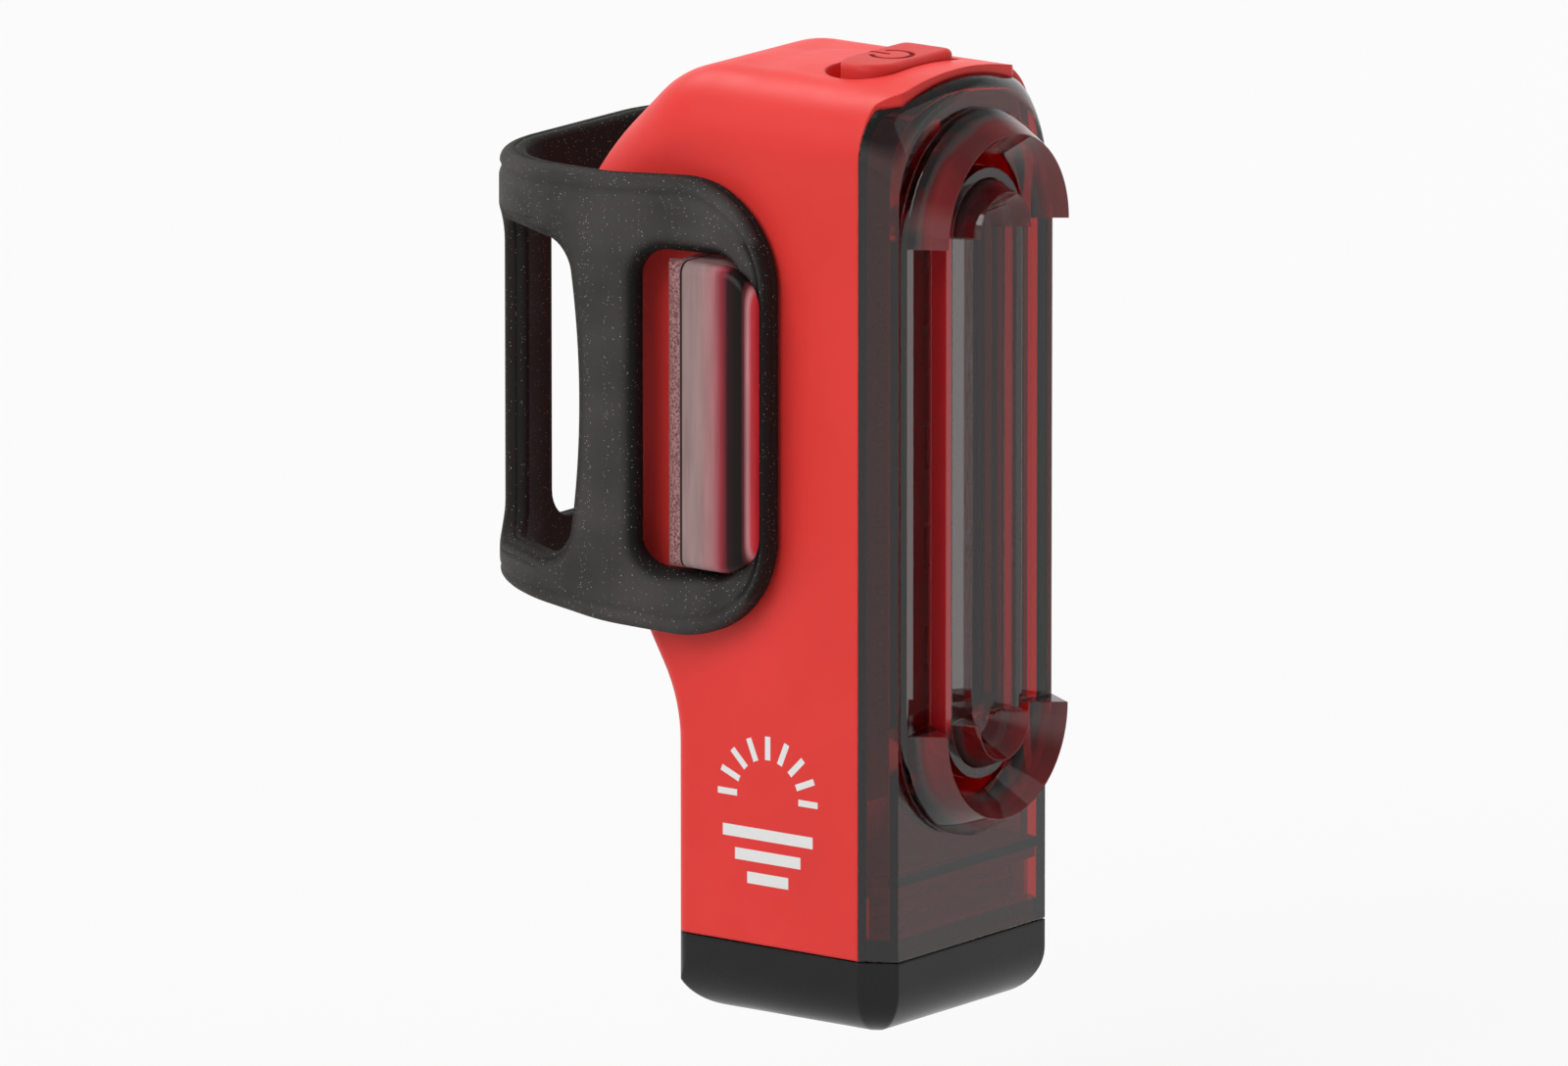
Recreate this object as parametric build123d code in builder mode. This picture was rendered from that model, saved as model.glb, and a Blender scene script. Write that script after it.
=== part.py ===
from build123d import *
import math
import os

# Bike rear light. Millimetres, +Z up, the lens faces -Y, the origin is the middle of the cap's flat bottom.

# Body, as seen from outside
body_width = 22.7
lower_depth = 20.8
body_height = 69.2
head_depth = 30.7
shoulder_radius = 5.3
housing_wall = 1.6
deck_wall = 1.8
rear_edge_radius = 1.2

# Side outline of the head
slope_depth = 8.3
slope_drop = 8.22
slope_top_radius = 8.3
slope_rear_radius = 8.0
head_height = 33.2
head_bottom_radius = 3.0
neck_drop = 17.5
neck_radius = 12.0

# Cradle for the seatpost, and the pocket that cores out the head
post_radius = 12.7
cradle_depth = 5.9
pocket_side_wall = 3.85
pocket_top_margin = 13.2
pocket_height = 26.0
pocket_wall = 1.6

# Lens
lens_depth = 2.75
lens_chamfer = 1.6
lens_wall = 1.2
lens_floor = 1.6
lens_top_drop = 0.7
lens_crown = 0.8
lens_round_depth = 1.5
lens_round_drop = 1.15
lens_front_corner = 7.0
lens_round_shares = (0, 0.03, 0.11, 0.25, 0.4, 0.55, 1)

# Lip of the deck over the lens, and the low crown of the deck that is highest there
lip_reach = 1.25
lip_front_width = 14.4
lip_root_width = 18.0
lip_height = 3.2
crown_rise = 0.7
crown_end_rise = 0.02
crown_sink = 0.2
crown_length = 15.5
crown_edge_share = 0.765

# Stepped boss and prism rings on the lens
arch_low = 18.3
arch_top_margin = 11.9
boss_margin = 0.15
boss_rise = 0.7
valley_radius = 5.05
valley_depth = 0.3
crest_outer_radius = 5.0
crest_inner_radius = 4.2
crest_rise = 1.14
ring_rim_radius = 7.93
ring_rim_rise = 3.53
small_rim_radius = 3.3
small_rim_rise = 3.25
small_ring_inner_radius = 1.6
small_ring_root_rise = 0.34
boss_pocket = 0.4
boss_root = 0.6

# Lens seal
seal_inset = 0.7
seal_width = 0.6
seal_height = 0.6

# Strap hooks
hook_front = 10.3
hook_rear = 18.8
hook_top_margin = 14.2
hook_height = 24.6
hook_stem_front = 12.9
hook_stem_rear = 18.0
hook_plate = 1.1
hook_foot = 0.8
hook_foot_margin = 0.9
hook_corner_radius = 3.2
hook_edge_radius = 0.9

# Ladder strap
strap_thickness = 2.2
strap_clearance = 0.3
strap_front = 10.2
strap_bar = 2.4
strap_bend_at = 17.0
strap_bulge = 2.7
strap_bulge_at = 24.7
strap_bend_radius = 8.0
strap_back = 39.75
strap_back_half = 14.4
strap_back_radius = 9.4
strap_low_rail = 5.3
strap_top_rail = 5.9
strap_back_rise = 2.6
strap_back_drop = 0.3
strap_end_radius = 8.5
slot_margin = 0.5
slot_radius = 2.4
side_slot_rear = 21.8
side_web_rear = 27.8
back_web_outer = 10.1
back_web_inner = 5.0

# Power button, close to the front of its recess
button_length = 10.1
button_width = 5.1
button_rise = 1.1
button_from_front = 7.9
button_front_gap = 0.15
button_rear_gap = 1.35
button_corner_radius = 0.9
button_recess = 1.2
button_travel = 0.6
button_floor_gap = 0.15
button_floor = 1.0
button_floor_margin = 0.8
button_edge_radius = 0.5
stem_radius = 1.6
stem_length = 2.75
stem_clearance = 0.08
symbol_radius = 1.6
symbol_stroke = 0.45
symbol_depth = 0.25
symbol_gap_angle = 70
symbol_bar_shares = (0.75, 1.25)

# Switch under the button
switch_size = 4.6
switch_height = 1.6
plunger_radius = 1.1
plunger_length = 0.9
plunger_root = 0.4
plunger_clearance = 0.05
plunger_bore = 1.2
switch_board_depth = 8.0
switch_ledge_width = 1.2
switch_ledge_height = 1.0
board_thickness = 0.8
button_seal_radius = 2.9
button_seal_height = 0.6

# Light engine behind the lens
reflector_side_gap = 0.75
reflector_front = 1.35
reflector_depth = 5.85
reflector_wall = 0.8
reflector_low = 17.3
reflector_top_margin = 8.0
tooth_front = 2.2
tooth_height = 0.5
tooth_width = 0.4
tooth_pitch = 1.6
led_size = 3.0
led_height = 0.8
led_pitch = 8.0
led_window_clearance = 0.3
led_board_side_gap = 1.25
led_board_low = 11.0
led_board_top_margin = 7.6
driver_size = 2.6
driver_height = 0.5
boss_outer_radius = 2.0
board_screw_radius = 0.8
board_screw_head_radius = 1.4
board_screw_head_height = 0.7
board_screw_grip = 4.0
lower_screw_at = 14.9
upper_screw_margin = 10.3

# Battery
battery_side_gap = 1.05
battery_low = 18.6
battery_top_margin = 12.6
battery_pad_thickness = 0.6
battery_corner_radius = 1.0
board_gap = 0.7
lead_radius = 0.45
lead_offset = 5.6

# Charging end
base_recess = 5.0
base_plate_thickness = 1.6
base_clearance = 0.05
base_seal_width = 0.8
base_screw_radius = 0.7
base_screw_head_radius = 1.2
base_screw_head_height = 0.6
base_screw_grip = 3.4
base_boss_radius = 1.9
base_boss_height = 4.6
base_screw_inset = 1.8
socket_width = 7.5
socket_depth = 2.6
socket_length = 5.4
socket_wall = 0.3
socket_taper = 0.8
insert_width = 4.6
insert_thickness = 0.7
insert_length = 4.0
socket_back = 0.8
contact_width = 0.4
contact_thickness = 0.1
contact_pitch = 0.65
contact_count = 5
charge_board_side_gap = 2.25
charge_board_height = 6.0
charge_board_gap = 1.7
charge_chip_size = 3.0
charge_chip_height = 0.8
link_pin_radius = 0.3
link_pin_pitch = 1.6
link_pin_count = 4
link_pin_drop = 0.8

# End cap
cap_height = 6.35
cap_wall = 1.8
cap_edge_radius = 4.0
collar_corner_radius = 1.5
cap_gap = 0.12
collar_height = 4.0
collar_wall = 1.2
collar_clearance = 0.35
cap_seal_height = 1.0
cap_seal_depth = 0.3
cap_seal_clearance = 0.08
cap_seal_drop = 1.0

# One overrun serves all cuts
overrun = 1.0

# Places worked out from the sizes
half_width = body_width / 2
front_y = -lower_depth / 2
rear_y = lower_depth / 2
head_y = front_y + head_depth
seam_y = front_y + lens_depth
seam_z = cap_height
deck_z = seam_z + body_height
inner_half_width = half_width - housing_wall
inner_rear_y = rear_y - housing_wall
lip_y = seam_y - lip_reach
crown_half = half_width - crown_edge_share * shoulder_radius
lens_flat_width = body_width - 2 * lens_chamfer
boss_radius = lens_flat_width / 2 - boss_margin
arch_high = body_height - arch_top_margin
hook_high = body_height - hook_top_margin
hook_low = hook_high - hook_height
pocket_high = body_height - pocket_top_margin
pocket_half = half_width - pocket_side_wall
reflector_width = 2 * (inner_half_width - reflector_side_gap)
reflector_high = body_height - reflector_top_margin
led_count = math.floor((reflector_high - reflector_low - 2 * reflector_wall) / led_pitch)
led_board_width = 2 * (inner_half_width - led_board_side_gap)
led_board_high = body_height - led_board_top_margin
battery_width = 2 * (inner_half_width - battery_side_gap)
battery_height = body_height - battery_top_margin - battery_low
charge_board_width = 2 * (inner_half_width - charge_board_side_gap)

os.makedirs("parts", exist_ok=True)


def save(builder, name):
    builder.part.label = name
    export_step(builder.part, "parts/" + name + ".step")


def arch_face(plane, half, top, corner, low):
    """Face with a flat bottom and rounded top corners."""
    with BuildSketch(plane) as face:
        with BuildLine():
            Polyline((-half, top - corner), (-half, low), (half, low), (half, top - corner))
            RadiusArc((half, top - corner), (half - corner, top), -corner)
            Line((half - corner, top), (corner - half, top))
            RadiusArc((corner - half, top), (-half, top - corner), -corner)
        make_face()
    return face.sketch


def crowned_face(plane, half, top, corner, low, crown):
    """The same face with its top raised to a crown whose arc runs smoothly into the corners."""
    reach = half - corner
    radius = (reach**2 + (corner + crown) ** 2 - corner**2) / (2 * crown)
    join_x = radius * reach / (radius - corner)
    join_z = top + crown - radius + radius * (radius - corner - crown) / (radius - corner)
    with BuildSketch(plane) as face:
        with BuildLine():
            Polyline((-half, top - corner), (-half, low), (half, low), (half, top - corner))
            RadiusArc((half, top - corner), (join_x, join_z), -corner)
            ThreePointArc((join_x, join_z), (0, top + crown), (-join_x, join_z))
            RadiusArc((-join_x, join_z), (-half, top - corner), -corner)
        make_face()
    return face.sketch


def closed_face(plane, points):
    with BuildSketch(plane) as face:
        with BuildLine():
            Polyline(*points, close=True)
        make_face()
    return face.sketch


# Side outline of the head: deck, slope, back of the head, and the neck down to the lower back
slope_top = (head_y - slope_depth, deck_z)
slope_low = (head_y, deck_z - slope_drop)
chin = (head_y, deck_z - head_height)
neck = (rear_y, deck_z - head_height - neck_drop)

# The hood is the same outline with its slope carried on, so that its broad edge fillet ends in the air
with BuildPart() as hood:
    with BuildSketch(Plane.YZ):
        with BuildLine():
            FilletPolyline(
                (front_y, deck_z),
                slope_top,
                (head_y + slope_depth, deck_z - 2 * slope_drop),
                radius=slope_top_radius,
            )
            Polyline(
                (head_y + slope_depth, deck_z - 2 * slope_drop),
                (head_y + slope_depth, seam_z),
                (front_y, seam_z),
                (front_y, deck_z),
            )
        make_face()
    extrude(amount=half_width, both=True)
    fillet(
        hood.edges().filter_by(
            lambda edge: abs(edge.center().X) > half_width / 2
            and edge.center().Z > deck_z - 2 * slope_drop
        ),
        shoulder_radius,
    )


def lens_half_at(depth):
    share = depth / lens_depth
    return lens_flat_width / 2 + (half_width - lens_flat_width / 2) * share


def round_share(depth):
    """Height share of a quarter round at a depth behind the lens's front."""
    return math.sqrt(1 - (1 - min(depth / lens_round_depth, 1)) ** 2)


def lens_top_at(depth):
    return body_height - lens_top_drop - lens_round_drop * (1 - round_share(depth))


def lens_corner_at(depth):
    seam_corner = shoulder_radius - lens_top_drop
    return lens_front_corner + (seam_corner - lens_front_corner) * depth / lens_depth


def lens_face(depth, inset, low):
    """Section of the lens, square to Y, at a depth behind its front and an inset from its surface."""
    plane = Plane.XZ.offset(-front_y - depth)
    half = lens_half_at(depth) - inset
    top = seam_z + lens_top_at(depth) - inset
    return crowned_face(plane, half, top, lens_corner_at(depth) - inset, low, lens_crown)


crown_points = [
    (0, boss_root),
    (0, 0),
    (crest_inner_radius, -crest_rise),
    (crest_outer_radius, -crest_rise),
    (valley_radius, valley_depth),
    (boss_radius, -boss_rise),
    (boss_radius, boss_root),
]
ring_points = [
    (boss_radius, boss_root),
    (boss_radius, -boss_rise),
    (ring_rim_radius, -ring_rim_rise),
    (valley_radius, valley_depth),
    (valley_radius, boss_root),
]
small_ring_points = [
    (crest_inner_radius, boss_root),
    (crest_inner_radius, -crest_rise),
    (small_rim_radius, -small_rim_rise),
    (small_ring_inner_radius, -small_ring_root_rise),
    (small_ring_inner_radius, boss_root),
]


def arch_plane(height):
    return Plane(origin=(0, front_y, seam_z + height), x_dir=(1, 0, 0), z_dir=(0, 0, 1))


def arch_axis(height, up):
    return Axis((0, front_y, seam_z + height), (0, -1 if up else 1, 0))


def lens_body():
    """Solid outer form of the lens: chamfered at the sides and rounded over at the top."""
    return loft(
        [lens_face(lens_depth * share, 0, seam_z) for share in lens_round_shares],
        mode=Mode.PRIVATE,
    )


# Lens: chamfered shell, rounded over at the top, with the stepped boss and half rings on its front
with BuildPart() as lens_cavity:
    loft(
        [
            lens_face(lens_depth, lens_wall, seam_z + lens_floor),
            lens_face(lens_wall, lens_wall, seam_z + lens_floor),
        ],
        ruled=True,
    )

with BuildPart() as front_lens:
    add(lens_body())
    with BuildSketch(Plane.XZ.offset(-front_y - boss_pocket)):
        with Locations((0, seam_z + (arch_low + arch_high) / 2)):
            SlotCenterToCenter(arch_high - arch_low, 2 * boss_radius, rotation=90)
    extrude(amount=boss_pocket + overrun, mode=Mode.SUBTRACT)
    crown = closed_face(arch_plane(arch_low), crown_points)
    extrude(crown, amount=arch_high - arch_low)
    extrude(mirror(crown, about=Plane.YZ, mode=Mode.PRIVATE), amount=arch_high - arch_low)
    for points in (crown_points, ring_points, small_ring_points):
        revolve(closed_face(arch_plane(arch_high), points), arch_axis(arch_high, True), 180)
        revolve(closed_face(arch_plane(arch_low), points), arch_axis(arch_low, False), 180)
    add(lens_cavity.part, mode=Mode.SUBTRACT)
save(front_lens, "front_lens")

# Rear housing: sides, deck and head in one shell, open to the front and at the bottom
cradle_y = head_y - cradle_depth
deck_inner_z = deck_z - deck_wall
recess_floor_z = deck_z - button_recess
button_y = front_y + button_from_front
recess_y = button_y + (button_rear_gap - button_front_gap) / 2
recess_length = button_length + button_front_gap + button_rear_gap
recess_width = button_width + button_front_gap + button_rear_gap
hook_stem_y = front_y + (hook_stem_front + hook_stem_rear) / 2
hook_mid_z = seam_z + (hook_low + hook_high) / 2
board_front_y = front_y + reflector_front + reflector_depth
board_back_y = board_front_y + board_thickness
base_low_z = seam_z + base_recess
base_top_z = base_low_z + base_plate_thickness
base_screw_x = inner_half_width - base_screw_inset
base_screw_y = inner_rear_y - base_screw_inset
stem_low_z = recess_floor_z + button_travel + button_floor_gap - stem_length
switch_low_z = stem_low_z - plunger_length - switch_height
switch_board_low_z = switch_low_z - board_thickness
screw_heights = [seam_z + lower_screw_at, deck_z - upper_screw_margin]


def block(x_low, x_high, y_low, y_high, z_low, z_high, mode=Mode.ADD):
    with Locations(((x_low + x_high) / 2, (y_low + y_high) / 2, (z_low + z_high) / 2)):
        Box(x_high - x_low, y_high - y_low, z_high - z_low, mode=mode)


def along_y(x, y, z):
    """Plane at the point, with its normal towards the back."""
    return Plane(origin=(x, y, z), x_dir=(1, 0, 0), z_dir=(0, 1, 0))


def disc(plane, radius):
    with BuildSketch(plane) as face:
        Circle(radius)
    return face.sketch


def ring(plane, outer, inner):
    with BuildSketch(plane) as face:
        Circle(outer)
        Circle(inner, mode=Mode.SUBTRACT)
    return face.sketch


def pad_face(plane, length, width, corner):
    """Face with a round end at -X and a square end with rounded corners at +X."""
    with BuildSketch(plane) as face:
        with Locations((length / 4, 0)):
            Rectangle(length / 2, width)
        fillet(face.vertices().group_by(Axis.X)[-1], corner)
        SlotOverall(length, width)
        with Locations((length / 4, 0)):
            Rectangle(length / 4, width)
    return face.sketch


def crown_face(y, rise):
    """Low arched section on the deck."""
    low = deck_z - crown_sink
    with BuildSketch(Plane.XZ.offset(-y)) as face:
        with BuildLine():
            ThreePointArc((-crown_half, low), (0, deck_z + rise), (crown_half, low))
            Line((crown_half, low), (-crown_half, low))
        make_face()
    return face.sketch


def level(x, y, z):
    return Plane(origin=(x, y, z))


def stem_face(x):
    """Section of a hook's stem, rounded at the front like the slot of the strap that hangs on it."""
    with BuildSketch(Plane.YZ.offset(x)) as face:
        with Locations((hook_stem_y, hook_mid_z)):
            Rectangle(hook_stem_rear - hook_stem_front, hook_height)
        fillet(face.vertices().group_by(Axis.X)[0], slot_radius)
    return face.sketch


with BuildPart() as rear_housing:
    with BuildSketch(Plane.YZ):
        with BuildLine():
            FilletPolyline(
                (seam_y, deck_z),
                slope_top,
                slope_low,
                chin,
                neck,
                (rear_y, seam_z),
                radius=[slope_top_radius, slope_rear_radius, head_bottom_radius, neck_radius],
            )
            Polyline((rear_y, seam_z), (seam_y, seam_z), (seam_y, deck_z))
        make_face()
    extrude(amount=half_width, both=True)
    fillet(
        rear_housing.edges().filter_by(
            lambda edge: abs(edge.center().X) > inner_half_width
            and edge.center().Y > inner_rear_y - housing_wall
            and edge.center().Z > seam_z + housing_wall / 2
        ),
        rear_edge_radius,
    )
    extrude(
        closed_face(
            Plane.XY.offset(deck_z - lip_height),
            [
                (-lip_root_width / 2, seam_y),
                (-lip_front_width / 2, lip_y),
                (lip_front_width / 2, lip_y),
                (lip_root_width / 2, seam_y),
            ],
        ),
        amount=lip_height,
    )
    add(hood.part, mode=Mode.INTERSECT)
    loft([crown_face(lip_y, crown_rise), crown_face(lip_y + crown_length, crown_end_rise)], ruled=True)
    add(lens_body(), mode=Mode.SUBTRACT)
    # Inside of the shell, the cored pocket in the head and the cradle behind it
    extrude(
        arch_face(
            Plane.XZ.offset(-inner_rear_y),
            inner_half_width,
            deck_inner_z,
            shoulder_radius - housing_wall,
            seam_z - overrun,
        ),
        amount=inner_rear_y - seam_y + overrun,
        mode=Mode.SUBTRACT,
    )
    block(
        -pocket_half,
        pocket_half,
        inner_rear_y - overrun,
        cradle_y - pocket_wall,
        seam_z + pocket_high - pocket_height,
        seam_z + pocket_high,
        Mode.SUBTRACT,
    )
    extrude(
        disc(level(0, cradle_y + post_radius, seam_z), post_radius),
        amount=body_height + overrun,
        mode=Mode.SUBTRACT,
    )
    # Rebate for the lens seal
    extrude(
        lens_face(lens_depth, seal_inset, seam_z + base_recess),
        amount=-seal_height,
        mode=Mode.SUBTRACT,
    )
    # Button recess, its thicker floor and the hole for the stem
    extrude(
        pad_face(
            level(0, recess_y, recess_floor_z - button_floor),
            recess_length + 2 * button_floor_margin,
            recess_width + 2 * button_floor_margin,
            button_corner_radius + button_floor_margin,
        ),
        amount=button_floor + button_recess / 2,
    )
    extrude(
        pad_face(level(0, recess_y, recess_floor_z), recess_length, recess_width, button_corner_radius),
        amount=button_recess + overrun,
        mode=Mode.SUBTRACT,
    )
    extrude(
        disc(level(0, button_y, recess_floor_z - button_floor - overrun), stem_radius + stem_clearance),
        amount=button_floor + 2 * overrun,
        mode=Mode.SUBTRACT,
    )
    # Windows for the hooks
    extrude(stem_face(0), amount=half_width + overrun, both=True, mode=Mode.SUBTRACT)
    # Bosses for the light board, bosses for the base plate, ledges for the switch board
    for height in screw_heights:
        extrude(disc(along_y(0, board_back_y, height), boss_outer_radius), amount=inner_rear_y - board_back_y)
        extrude(
            disc(along_y(0, board_back_y, height), board_screw_radius),
            amount=board_screw_grip,
            mode=Mode.SUBTRACT,
        )
    for side in (-1, 1):
        extrude(
            disc(level(side * base_screw_x, base_screw_y, base_top_z), base_boss_radius),
            amount=base_boss_height,
        )
        extrude(
            disc(level(side * base_screw_x, base_screw_y, base_top_z), base_screw_radius),
            amount=base_screw_grip,
            mode=Mode.SUBTRACT,
        )
        with Locations(
            (
                side * (inner_half_width - switch_ledge_width / 2),
                button_y,
                switch_board_low_z - switch_ledge_height / 2,
            )
        ):
            Box(switch_ledge_width, switch_board_depth, switch_ledge_height)
save(rear_housing, "rear_housing")

# Lens seal, in the rebate of the housing's front edge
with BuildPart() as lens_gasket:
    extrude(lens_face(lens_depth, seal_inset, seam_z + base_recess), amount=-seal_height)
    extrude(
        lens_face(lens_depth, seal_inset + seal_width, seam_z + base_recess - overrun),
        amount=-seal_height,
        mode=Mode.SUBTRACT,
    )
save(lens_gasket, "lens_gasket")


# Strap hooks: a plate outside, a stem through the wall and a foot inside
plate_inner_x = half_width + 2 * strap_clearance + strap_thickness


def make_hook(side):
    with BuildPart() as hook:
        with BuildSketch(Plane.YZ.offset(plate_inner_x)) as plate:
            with Locations((front_y + (hook_front + hook_rear) / 2, hook_mid_z)):
                Rectangle(hook_rear - hook_front, hook_height)
            fillet(plate.vertices().group_by(Axis.X)[0], hook_corner_radius)
        extrude(amount=hook_plate)
        fillet(hook.faces().sort_by(Axis.X)[-1].edges(), hook_edge_radius)
        extrude(stem_face(inner_half_width), amount=plate_inner_x - inner_half_width)
        block(
            inner_half_width - hook_foot,
            inner_half_width,
            front_y + hook_stem_front - hook_foot_margin,
            front_y + hook_stem_rear + hook_foot_margin,
            seam_z + hook_low - hook_foot_margin,
            seam_z + hook_high + hook_foot_margin,
        )
        if side < 0:
            mirror(about=Plane.YZ, mode=Mode.REPLACE)
    return hook


save(make_hook(-1), "hook_left")
save(make_hook(1), "hook_right")

# Ladder strap: end bars, rails and webs of one band that runs round the back
strap_mid_x = half_width + strap_clearance + strap_thickness / 2
strap_bulge_x = strap_mid_x + strap_bulge
strap_mid_back = front_y + strap_back - strap_thickness / 2
strap_half_path = [
    (strap_mid_x, front_y + strap_front),
    (strap_mid_x, front_y + strap_bend_at),
    (strap_bulge_x, front_y + strap_bulge_at),
    (strap_back_half, strap_mid_back),
]
strap_half_radii = [strap_bend_radius, strap_bend_radius, strap_back_radius]
slot_low_z = seam_z + hook_low - slot_margin
slot_high_z = seam_z + hook_high + slot_margin
slot_height = slot_high_z - slot_low_z
slot_mid_z = (slot_low_z + slot_high_z) / 2
strap_low_z = slot_low_z - strap_low_rail
strap_high_z = slot_high_z + strap_top_rail


def side_slot(y_low, y_high, x_from):
    """Cutter along X for a slot between the two places, with its corners rounded."""
    with BuildSketch(Plane.YZ.offset(x_from)) as face:
        with Locations(((y_low + y_high) / 2, slot_mid_z)):
            Rectangle(y_high - y_low, slot_height)
        fillet(face.vertices(), slot_radius)
    return face.sketch


with BuildPart() as mounting_strap:
    with BuildSketch(Plane.XY.offset(strap_low_z)):
        with BuildLine():
            FilletPolyline(
                *strap_half_path,
                *[(-x, y) for x, y in reversed(strap_half_path)],
                radius=strap_half_radii + strap_half_radii[::-1],
            )
        trace(line_width=strap_thickness)
    extrude(amount=strap_high_z - strap_low_z)
    with BuildSketch(Plane.YZ):
        with BuildLine():
            FilletPolyline(
                (front_y + strap_back + overrun, strap_low_z + strap_back_rise),
                (front_y + hook_rear, strap_low_z),
                (front_y + strap_front, strap_low_z),
                (front_y + strap_front, strap_high_z),
                (front_y + hook_rear, strap_high_z),
                (front_y + strap_back + overrun, strap_high_z - strap_back_drop),
                radius=[0, strap_end_radius, strap_end_radius, 0],
            )
            Line(
                (front_y + strap_back + overrun, strap_high_z - strap_back_drop),
                (front_y + strap_back + overrun, strap_low_z + strap_back_rise),
            )
        make_face()
    extrude(amount=strap_bulge_x + strap_thickness, both=True, mode=Mode.INTERSECT)
    front_slot = side_slot(front_y + strap_front + strap_bar, front_y + side_slot_rear, 0)
    extrude(front_slot, amount=strap_bulge_x + strap_thickness, both=True, mode=Mode.SUBTRACT)
    for side in (-1, 1):
        extrude(
            side_slot(
                front_y + side_web_rear,
                front_y + strap_back + strap_thickness + slot_radius,
                side * back_web_outer,
            ),
            amount=side * (strap_bulge_x + strap_thickness - back_web_outer),
            mode=Mode.SUBTRACT,
        )
    with BuildSketch(Plane.XZ.offset(-front_y - strap_back - overrun)) as back_slot:
        with Locations((0, slot_mid_z)):
            Rectangle(2 * back_web_inner, slot_height)
        fillet(back_slot.vertices(), slot_radius)
    extrude(amount=strap_thickness + 2 * overrun, mode=Mode.SUBTRACT)
save(mounting_strap, "mounting_strap")

# Power button: a raised pad on a stem, with the common power symbol sunk into its top
button_top_z = deck_z + button_rise
button_low_z = recess_floor_z + button_travel + button_floor_gap

with BuildPart() as power_button:
    extrude(
        pad_face(level(0, button_y, button_low_z), button_length, button_width, button_corner_radius),
        amount=button_top_z - button_low_z,
    )
    fillet(power_button.faces().sort_by(Axis.Z)[-1].edges(), button_edge_radius)
    extrude(disc(level(0, button_y, stem_low_z), stem_radius), amount=stem_length)
    with BuildSketch(level(0, button_y, button_top_z)):
        with BuildLine():
            CenterArc(
                (0, 0),
                symbol_radius,
                90 + symbol_gap_angle / 2,
                360 - symbol_gap_angle,
            )
        trace(line_width=symbol_stroke)
        bar_share, bar_length_share = symbol_bar_shares
        with Locations((0, symbol_radius * bar_share)):
            Rectangle(symbol_stroke, symbol_radius * bar_length_share)
    extrude(amount=-symbol_depth, mode=Mode.SUBTRACT)
save(power_button, "power_button")

with BuildPart() as button_seal:
    extrude(
        ring(
            level(0, button_y, recess_floor_z - button_floor),
            button_seal_radius,
            stem_radius + stem_clearance,
        ),
        amount=-button_seal_height,
    )
save(button_seal, "button_seal")

# Switch, its plunger and its board
with BuildPart() as switch_plunger:
    extrude(
        disc(level(0, button_y, stem_low_z), plunger_radius),
        amount=-plunger_length - plunger_root,
    )
save(switch_plunger, "switch_plunger")

with BuildPart() as switch_body:
    with BuildSketch(level(0, button_y, switch_low_z)):
        Rectangle(switch_size, switch_size)
    extrude(amount=switch_height)
    extrude(
        disc(level(0, button_y, switch_low_z + switch_height), plunger_radius + plunger_clearance),
        amount=-plunger_bore,
        mode=Mode.SUBTRACT,
    )
save(switch_body, "switch_body")

with BuildPart() as switch_board:
    with BuildSketch(level(0, button_y, switch_board_low_z)):
        Rectangle(2 * (inner_half_width - base_clearance), switch_board_depth)
    extrude(amount=board_thickness)
save(switch_board, "switch_board")

# Reflector frame, with toothed side edges that show through the lens
reflector_low_z = seam_z + reflector_low
reflector_high_z = seam_z + reflector_high
reflector_y = front_y + reflector_front
tooth_y = front_y + tooth_front
led_mid_z = (reflector_low_z + reflector_high_z) / 2
tooth_count = math.floor((reflector_high - reflector_low - 2 * reflector_wall) / tooth_pitch)

with BuildPart() as reflector_frame:
    block(
        -reflector_width / 2,
        reflector_width / 2,
        reflector_y,
        board_front_y,
        reflector_low_z,
        reflector_high_z,
    )
    block(
        reflector_wall - reflector_width / 2,
        reflector_width / 2 - reflector_wall,
        reflector_y - overrun,
        board_front_y - reflector_wall,
        reflector_low_z + reflector_wall,
        reflector_high_z - reflector_wall,
        Mode.SUBTRACT,
    )
    with BuildSketch(Plane.XZ.offset(-tooth_y)):
        with Locations((0, led_mid_z)):
            with GridLocations(reflector_width, 0, 2, 1):
                Rectangle(2 * tooth_width, reflector_high_z - reflector_low_z + overrun)
    extrude(amount=reflector_front, mode=Mode.SUBTRACT)
    with BuildSketch(Plane.XZ.offset(-tooth_y - tooth_height)):
        with Locations((0, led_mid_z)):
            with GridLocations(reflector_width, tooth_pitch, 2, tooth_count):
                Rectangle(2 * tooth_width, tooth_pitch / 2)
    extrude(amount=tooth_height + overrun, mode=Mode.SUBTRACT)
    with BuildSketch(Plane.XZ.offset(-board_front_y)):
        with Locations((0, led_mid_z)):
            with GridLocations(0, led_pitch, 1, led_count):
                Rectangle(led_size + 2 * led_window_clearance, led_size + 2 * led_window_clearance)
        with Locations((0, screw_heights[1])):
            Circle(board_screw_radius)
    extrude(amount=reflector_wall, mode=Mode.SUBTRACT)
save(reflector_frame, "reflector_frame")

# Light board, its chips and its screws
with BuildPart() as led_board:
    block(
        -led_board_width / 2,
        led_board_width / 2,
        board_front_y,
        board_back_y,
        seam_z + led_board_low,
        seam_z + led_board_high,
    )
    for height in screw_heights:
        extrude(
            disc(along_y(0, board_front_y, height), board_screw_radius),
            amount=board_thickness,
            mode=Mode.SUBTRACT,
        )
save(led_board, "led_board")

with BuildPart() as led_chips:
    with BuildSketch(Plane.XZ.offset(-board_front_y)):
        with Locations((0, led_mid_z)):
            with GridLocations(0, led_pitch, 1, led_count):
                Rectangle(led_size, led_size)
    extrude(amount=led_height)
save(led_chips, "led_chips")

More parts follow.
